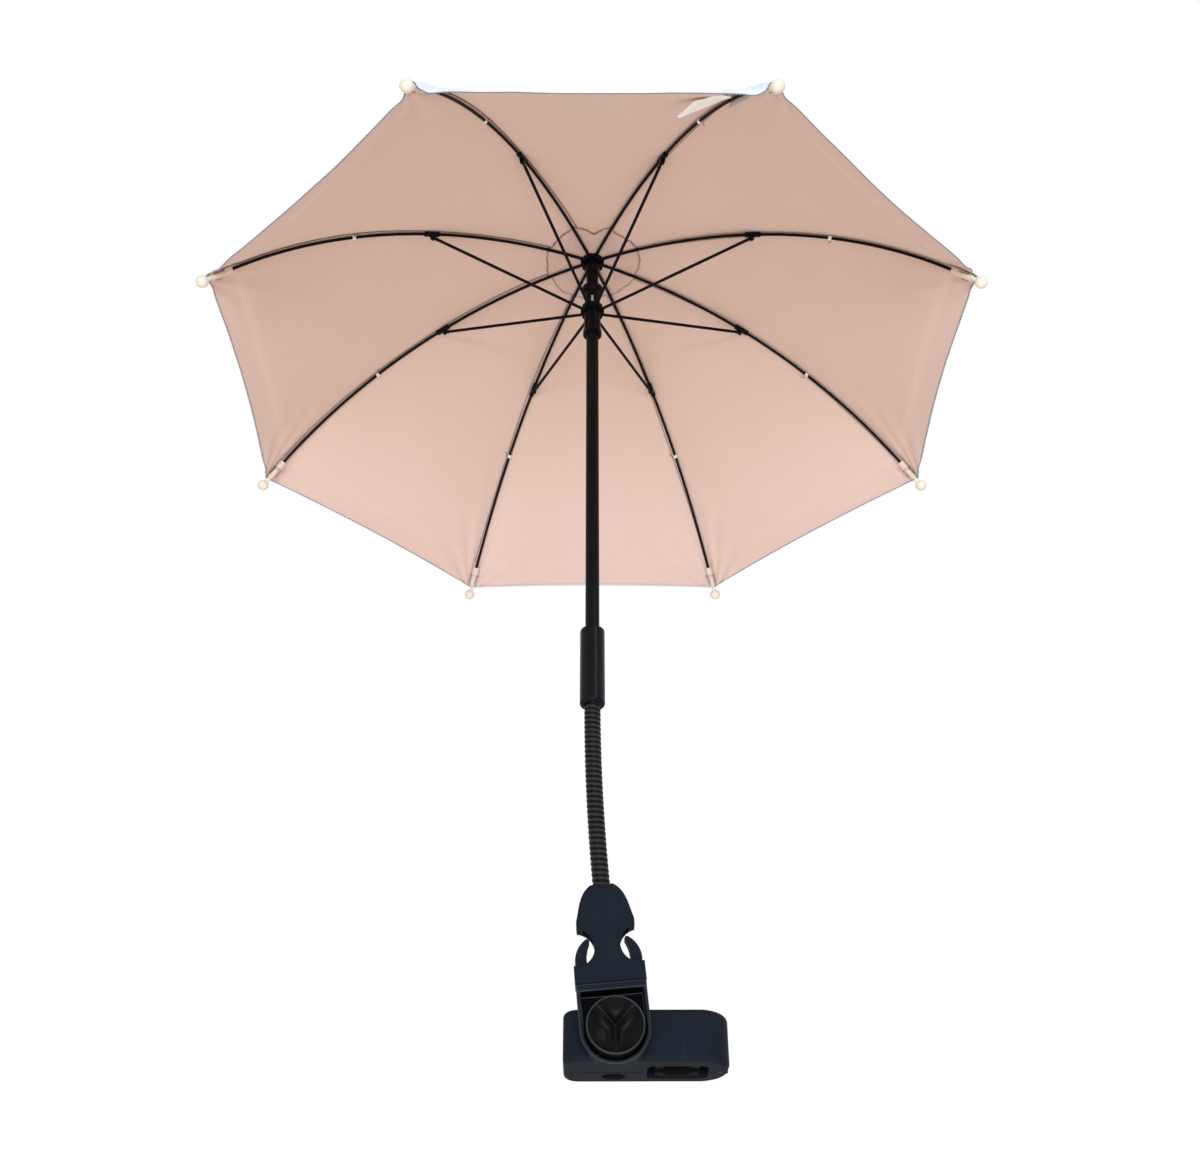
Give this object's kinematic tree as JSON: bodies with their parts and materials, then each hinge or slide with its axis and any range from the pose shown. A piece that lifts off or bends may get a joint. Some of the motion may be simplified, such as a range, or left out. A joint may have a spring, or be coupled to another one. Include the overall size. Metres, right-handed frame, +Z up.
{
  "type": "pram parasol",
  "caption": "Pram parasol: domed folding canopy on a sliding runner, bendable neck, side-release buckle and a knob-tightened tube clamp.",
  "frame": {"origin": "centre of the gripped pram tube, halfway up the clamp", "axes": "+Z up along the tube and the pole, -Y the way the clamp's knob faces, +X towards the clamp's hinged end"},
  "size_m": [0.6854, 0.6854, 0.8295],
  "materials": {
    "moulded_black": "fine-grained black nylon moulding",
    "knob_black": "satin black moulding",
    "gloss_black": "smooth black moulding",
    "black_steel": "black painted steel",
    "rib_black": "black painted wire",
    "bare_steel": "zinc-plated steel",
    "grip_rubber": "matte black rubber",
    "ivory": "smooth ivory moulding",
    "canopy_cloth": "plain woven polyester, pale outside",
    "pale_webbing": "pale woven strap"
  },
  "bodies": {
    "clamp_front": {"front_jaw": "moulded_black", "front_pad": "grip_rubber", "hinge_pin": "bare_steel"},
    "clamp_back": {"back_jaw": "moulded_black", "back_pad": "grip_rubber"},
    "knob": {"knob": "knob_black", "knob_bolt": "bare_steel"},
    "cross_nut": {"barrel_nut": "bare_steel"},
    "holder": {"buckle_plug": "moulded_black", "thrust_washer": "bare_steel"},
    "latch_left": {"latch_left": "moulded_black"},
    "latch_right": {"latch_right": "moulded_black"},
    "socket": {"buckle_socket": "moulded_black", "neck_lower": "black_steel"},
    "neck_middle": {"neck_middle": "black_steel"},
    "pole": {"neck_upper": "black_steel", "coupling_barrel": "gloss_black", "pole_lower": "black_steel", "pole_flex": "black_steel"},
    "head": {"pole_upper": "black_steel", "crown_hub": "gloss_black", "crown_wire": "bare_steel", "top_cap": "ivory"},
    "catch": {"spring_catch": "bare_steel"},
    "runner": {"runner": "gloss_black"},
    "rib_1": {"rib_1": "rib_black", "rib_tip_1": "ivory"},
    "stretcher_1": {"stretcher_1": "rib_black"},
    "panel_1": {"canopy_panel_1": "canopy_cloth", "closing_strap": "pale_webbing"},
    "rib_2": {"rib_2": "rib_black", "rib_tip_2": "ivory"},
    "stretcher_2": {"stretcher_2": "rib_black"},
    "panel_2": {"canopy_panel_2": "canopy_cloth"},
    "rib_3": {"rib_3": "rib_black", "rib_tip_3": "ivory"},
    "stretcher_3": {"stretcher_3": "rib_black"},
    "panel_3": {"canopy_panel_3": "canopy_cloth"},
    "rib_4": {"rib_4": "rib_black", "rib_tip_4": "ivory"},
    "stretcher_4": {"stretcher_4": "rib_black"},
    "panel_4": {"canopy_panel_4": "canopy_cloth"},
    "rib_5": {"rib_5": "rib_black", "rib_tip_5": "ivory"},
    "stretcher_5": {"stretcher_5": "rib_black"},
    "panel_5": {"canopy_panel_5": "canopy_cloth"},
    "rib_6": {"rib_6": "rib_black", "rib_tip_6": "ivory"},
    "stretcher_6": {"stretcher_6": "rib_black"},
    "panel_6": {"canopy_panel_6": "canopy_cloth"},
    "rib_7": {"rib_7": "rib_black", "rib_tip_7": "ivory"},
    "stretcher_7": {"stretcher_7": "rib_black"},
    "panel_7": {"canopy_panel_7": "canopy_cloth"},
    "rib_8": {"rib_8": "rib_black", "rib_tip_8": "ivory"},
    "stretcher_8": {"stretcher_8": "rib_black"},
    "panel_8": {"canopy_panel_8": "canopy_cloth"}
  },
  "joints": [
    {"name": "knob_turn", "type": "hinge", "parent": "clamp_front", "child": "knob", "pos_m": [-0.0449, -0.0374, 0], "axis": [0, -1, 0], "range_deg": [0, 3030.19]},
    {"name": "nut_travel", "type": "slide", "parent": "clamp_front", "child": "cross_nut", "axis": [0, 1, 0], "range_m": [0, 0.01052]},
    {"name": "jaw_swing", "type": "hinge", "parent": "clamp_front", "child": "clamp_back", "pos_m": [0.0307, 0, 0], "axis": [0, 0, -1], "range_deg": [0, 8]},
    {"name": "holder_swivel", "type": "hinge", "parent": "clamp_front", "child": "holder", "pos_m": [-0.0449, -0.0374, 0], "axis": [0, -1, 0], "range_deg": [-90, 90]},
    {"name": "latch_left_press", "type": "hinge", "parent": "holder", "child": "latch_left", "pos_m": [-0.06703, -0.0374, 0.03039], "axis": [0, 1, 0], "range_deg": [0, 4.5], "stiffness_Nm_per_rad": 1.3},
    {"name": "latch_right_press", "type": "hinge", "parent": "holder", "child": "latch_right", "pos_m": [-0.02838, -0.0374, 0.03377], "axis": [0, -1, 0], "range_deg": [0, 4.5], "stiffness_Nm_per_rad": 1.3},
    {"name": "buckle_release", "type": "slide", "parent": "holder", "child": "socket", "axis": [-0.0872, 0, 0.9962], "range_m": [0, 0.04], "deforming": ["latch_left", "latch_right"]},
    {"name": "neck_bend_side", "type": "hinge", "parent": "socket", "child": "neck_middle", "pos_m": [-0.05716, -0.0374, 0.14508], "axis": [0, 1, 0], "range_deg": [-45, 45], "deforming": ["neck_lower"]},
    {"name": "neck_bend_fore", "type": "hinge", "parent": "neck_middle", "child": "pole", "pos_m": [-0.06058, -0.0374, 0.2232], "axis": [1, 0, 0], "range_deg": [-45, 45], "deforming": ["neck_upper"]},
    {"name": "head_tilt", "type": "hinge", "parent": "pole", "child": "head", "pos_m": [-0.061, -0.0374, 0.6101], "axis": [1, 0, 0], "range_deg": [0, 40], "deforming": ["pole_flex"]},
    {"name": "catch_press", "type": "hinge", "parent": "head", "child": "catch", "pos_m": [-0.061, -0.04235, 0.7146], "axis": [-1, 0, 0], "range_deg": [0, 8], "stiffness_Nm_per_rad": 0.4},
    {"name": "runner_slide", "type": "slide", "parent": "head", "child": "runner", "axis": [0, 0, 1], "range_m": [-0.2389, 0], "deforming": ["spring_catch"]},
    {"name": "rib_fold_1", "type": "hinge", "parent": "head", "child": "rib_1", "pos_m": [-0.06406, -0.04479, 0.7821], "axis": [0.9239, -0.3827, 0], "range_deg": [0, 61.17]},
    {"name": "stretcher_fold_1", "type": "hinge", "parent": "rib_1", "child": "stretcher_1", "pos_m": [-0.12468, -0.19113, 0.74622], "axis": [-0.9239, 0.3827, 0], "range_deg": [0, 123.13]},
    {"name": "panel_fold_1", "type": "hinge", "parent": "rib_1", "child": "panel_1", "pos_m": [-0.061, -0.04606, 0.7821], "axis": [0, 0.8777, -0.4793], "range_deg": [0, 44.91], "deforming": ["canopy_panel_1", "closing_strap"]},
    {"name": "rib_fold_2", "type": "hinge", "parent": "head", "child": "rib_2", "pos_m": [-0.05794, -0.04479, 0.7821], "axis": [0.9239, 0.3827, 0], "range_deg": [0, 61.17]},
    {"name": "stretcher_fold_2", "type": "hinge", "parent": "rib_2", "child": "stretcher_2", "pos_m": [0.00267, -0.19113, 0.74622], "axis": [-0.9239, -0.3827, 0], "range_deg": [0, 123.13]},
    {"name": "panel_fold_2", "type": "hinge", "parent": "rib_2", "child": "panel_2", "pos_m": [-0.05488, -0.04352, 0.7821], "axis": [-0.6206, 0.6206, -0.4793], "range_deg": [0, 44.91], "deforming": ["canopy_panel_2"]},
    {"name": "rib_fold_3", "type": "hinge", "parent": "head", "child": "rib_3", "pos_m": [-0.05361, -0.04046, 0.7821], "axis": [0.3827, 0.9239, 0], "range_deg": [0, 61.17]},
    {"name": "stretcher_fold_3", "type": "hinge", "parent": "rib_3", "child": "stretcher_3", "pos_m": [0.09273, -0.10108, 0.74622], "axis": [-0.3827, -0.9239, 0], "range_deg": [0, 123.13]},
    {"name": "panel_fold_3", "type": "hinge", "parent": "rib_3", "child": "panel_3", "pos_m": [-0.05234, -0.0374, 0.7821], "axis": [-0.8777, 0, -0.4793], "range_deg": [0, 44.91], "deforming": ["canopy_panel_3"]},
    {"name": "rib_fold_4", "type": "hinge", "parent": "head", "child": "rib_4", "pos_m": [-0.05361, -0.03434, 0.7821], "axis": [-0.3827, 0.9239, 0], "range_deg": [0, 61.17]},
    {"name": "stretcher_fold_4", "type": "hinge", "parent": "rib_4", "child": "stretcher_4", "pos_m": [0.09273, 0.02628, 0.74622], "axis": [0.3827, -0.9239, 0], "range_deg": [0, 123.13]},
    {"name": "panel_fold_4", "type": "hinge", "parent": "rib_4", "child": "panel_4", "pos_m": [-0.05488, -0.03128, 0.7821], "axis": [-0.6206, -0.6206, -0.4793], "range_deg": [0, 44.91], "deforming": ["canopy_panel_4"]},
    {"name": "rib_fold_5", "type": "hinge", "parent": "head", "child": "rib_5", "pos_m": [-0.05794, -0.03001, 0.7821], "axis": [-0.9239, 0.3827, 0], "range_deg": [0, 61.17]},
    {"name": "stretcher_fold_5", "type": "hinge", "parent": "rib_5", "child": "stretcher_5", "pos_m": [0.00267, 0.11633, 0.74622], "axis": [0.9239, -0.3827, 0], "range_deg": [0, 123.13]},
    {"name": "panel_fold_5", "type": "hinge", "parent": "rib_5", "child": "panel_5", "pos_m": [-0.061, -0.02874, 0.7821], "axis": [0, -0.8777, -0.4793], "range_deg": [0, 44.91], "deforming": ["canopy_panel_5"]},
    {"name": "rib_fold_6", "type": "hinge", "parent": "head", "child": "rib_6", "pos_m": [-0.06406, -0.03001, 0.7821], "axis": [-0.9239, -0.3827, 0], "range_deg": [0, 61.17]},
    {"name": "stretcher_fold_6", "type": "hinge", "parent": "rib_6", "child": "stretcher_6", "pos_m": [-0.12468, 0.11633, 0.74622], "axis": [0.9239, 0.3827, 0], "range_deg": [0, 123.13]},
    {"name": "panel_fold_6", "type": "hinge", "parent": "rib_6", "child": "panel_6", "pos_m": [-0.06712, -0.03128, 0.7821], "axis": [0.6206, -0.6206, -0.4793], "range_deg": [0, 44.91], "deforming": ["canopy_panel_6"]},
    {"name": "rib_fold_7", "type": "hinge", "parent": "head", "child": "rib_7", "pos_m": [-0.06839, -0.03434, 0.7821], "axis": [-0.3827, -0.9239, 0], "range_deg": [0, 61.17]},
    {"name": "stretcher_fold_7", "type": "hinge", "parent": "rib_7", "child": "stretcher_7", "pos_m": [-0.21473, 0.02628, 0.74622], "axis": [0.3827, 0.9239, 0], "range_deg": [0, 123.13]},
    {"name": "panel_fold_7", "type": "hinge", "parent": "rib_7", "child": "panel_7", "pos_m": [-0.06966, -0.0374, 0.7821], "axis": [0.8777, 0, -0.4793], "range_deg": [0, 44.91], "deforming": ["canopy_panel_7"]},
    {"name": "rib_fold_8", "type": "hinge", "parent": "head", "child": "rib_8", "pos_m": [-0.06839, -0.04046, 0.7821], "axis": [0.3827, -0.9239, 0], "range_deg": [0, 61.17]},
    {"name": "stretcher_fold_8", "type": "hinge", "parent": "rib_8", "child": "stretcher_8", "pos_m": [-0.21473, -0.10108, 0.74622], "axis": [-0.3827, 0.9239, 0], "range_deg": [0, 123.13]},
    {"name": "panel_fold_8", "type": "hinge", "parent": "rib_8", "child": "panel_8", "pos_m": [-0.06712, -0.04352, 0.7821], "axis": [0.6206, 0.6206, -0.4793], "range_deg": [0, 44.91], "deforming": ["canopy_panel_8"]}
  ],
  "couplings": [
    {"joint": "nut_travel", "follows": "knob_turn", "m_per_rad": 0.00019894},
    {"joint": "jaw_swing", "follows": "knob_turn", "ratio": 0.0026401},
    {"joint": "rib_fold_1", "follows": "runner_slide", "rad_per_m": -4.4689},
    {"joint": "stretcher_fold_1", "follows": "runner_slide", "rad_per_m": -8.9951},
    {"joint": "panel_fold_1", "follows": "runner_slide", "rad_per_m": -3.2812},
    {"joint": "rib_fold_2", "follows": "runner_slide", "rad_per_m": -4.4689},
    {"joint": "stretcher_fold_2", "follows": "runner_slide", "rad_per_m": -8.9951},
    {"joint": "panel_fold_2", "follows": "runner_slide", "rad_per_m": -3.2812},
    {"joint": "rib_fold_3", "follows": "runner_slide", "rad_per_m": -4.4689},
    {"joint": "stretcher_fold_3", "follows": "runner_slide", "rad_per_m": -8.9951},
    {"joint": "panel_fold_3", "follows": "runner_slide", "rad_per_m": -3.2812},
    {"joint": "rib_fold_4", "follows": "runner_slide", "rad_per_m": -4.4689},
    {"joint": "stretcher_fold_4", "follows": "runner_slide", "rad_per_m": -8.9951},
    {"joint": "panel_fold_4", "follows": "runner_slide", "rad_per_m": -3.2812},
    {"joint": "rib_fold_5", "follows": "runner_slide", "rad_per_m": -4.4689},
    {"joint": "stretcher_fold_5", "follows": "runner_slide", "rad_per_m": -8.9951},
    {"joint": "panel_fold_5", "follows": "runner_slide", "rad_per_m": -3.2812},
    {"joint": "rib_fold_6", "follows": "runner_slide", "rad_per_m": -4.4689},
    {"joint": "stretcher_fold_6", "follows": "runner_slide", "rad_per_m": -8.9951},
    {"joint": "panel_fold_6", "follows": "runner_slide", "rad_per_m": -3.2812},
    {"joint": "rib_fold_7", "follows": "runner_slide", "rad_per_m": -4.4689},
    {"joint": "stretcher_fold_7", "follows": "runner_slide", "rad_per_m": -8.9951},
    {"joint": "panel_fold_7", "follows": "runner_slide", "rad_per_m": -3.2812},
    {"joint": "rib_fold_8", "follows": "runner_slide", "rad_per_m": -4.4689},
    {"joint": "stretcher_fold_8", "follows": "runner_slide", "rad_per_m": -8.9951},
    {"joint": "panel_fold_8", "follows": "runner_slide", "rad_per_m": -3.2812}
  ]
}
